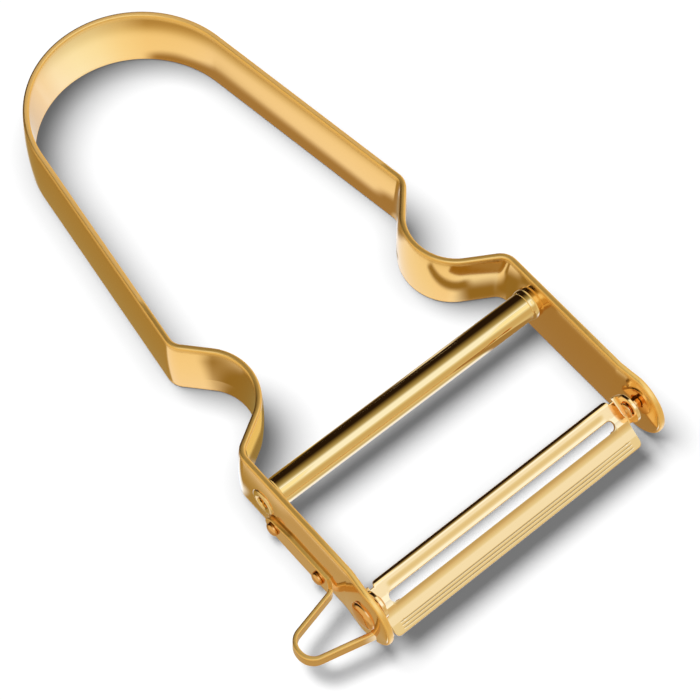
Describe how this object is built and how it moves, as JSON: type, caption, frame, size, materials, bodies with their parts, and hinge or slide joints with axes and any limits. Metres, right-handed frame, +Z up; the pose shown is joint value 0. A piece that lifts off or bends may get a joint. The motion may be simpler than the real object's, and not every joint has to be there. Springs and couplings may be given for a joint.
{
  "type": "swivel vegetable peeler",
  "caption": "Bent strip handle with finger notches, a crossbar tube, a slotted blade that swings between the arm tips and a side loop for cutting out potato eyes.",
  "frame": {"origin": "on the surface that the peeler lies on, under the middle of its bounding box", "axes": "+X from the left arm, which has the eye remover, to the right arm; +Y to the round end of the handle, with the blade at -Y; +Z up"},
  "size_m": [0.0654, 0.1092, 0.012],
  "materials": {
    "gold_strip": "smooth gold-coloured metal",
    "polished_gold": "mirror polished gold-coloured metal",
    "pale_gold_blade": "pale gold-coloured steel with a ground edge",
    "copper_gold_rivet": "smooth copper-gold metal"
  },
  "bodies": {
    "handle": {"handle_bow": "gold_strip", "crossbar_tube": "polished_gold", "pivot_rivet_right": "copper_gold_rivet", "pivot_rivet_left": "copper_gold_rivet", "eye_remover": "gold_strip", "eye_remover_rivet_rear": "copper_gold_rivet", "eye_remover_rivet_front": "copper_gold_rivet"},
    "blade": {"blade": "pale_gold_blade"}
  },
  "joints": [
    {"name": "blade_pivot", "type": "hinge", "parent": "handle", "child": "blade", "pos_m": [0.00447, -0.04915, 0.006], "axis": [1, 0, 0], "range_deg": [-64, 0]}
  ]
}
